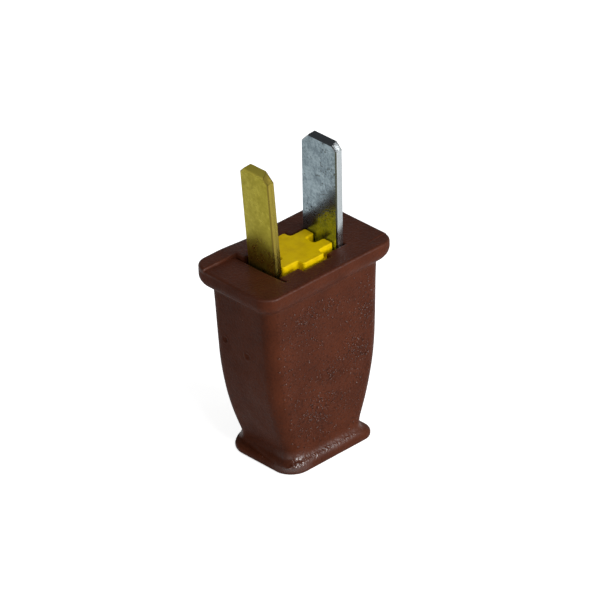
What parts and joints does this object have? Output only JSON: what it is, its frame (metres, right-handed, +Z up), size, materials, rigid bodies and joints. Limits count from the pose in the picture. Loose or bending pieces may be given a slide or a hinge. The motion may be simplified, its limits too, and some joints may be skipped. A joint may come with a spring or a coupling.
{
  "type": "type a plug",
  "caption": "Polarised flat-blade lamp plug: brown moulded shell with a flanged face and flared cord foot, a pull-out yellow core, and brass and nickel-plated blades.",
  "frame": {"origin": "middle of the foot that the plug stands on, at the cord end", "axes": "+Z up along the blades, +X from the narrow brass blade to the wide nickel blade, -Y the front"},
  "size_m": [0.0284, 0.0174, 0.0535],
  "materials": {
    "shell_vinyl": "moulded brown vinyl with a soft gloss and a fine leathery grain",
    "core_plastic": "moulded yellow plastic",
    "brass": "stamped brass, slightly tarnished",
    "nickel": "nickel plate over brass, lightly pitted"
  },
  "bodies": {
    "shell": {"shell": "shell_vinyl"},
    "core": {"core": "core_plastic", "hot_blade": "brass", "neutral_blade": "nickel"}
  },
  "joints": [
    {"name": "core_pull", "type": "slide", "parent": "shell", "child": "core", "axis": [0, 0, 1], "range_m": [0, 0.03]}
  ]
}
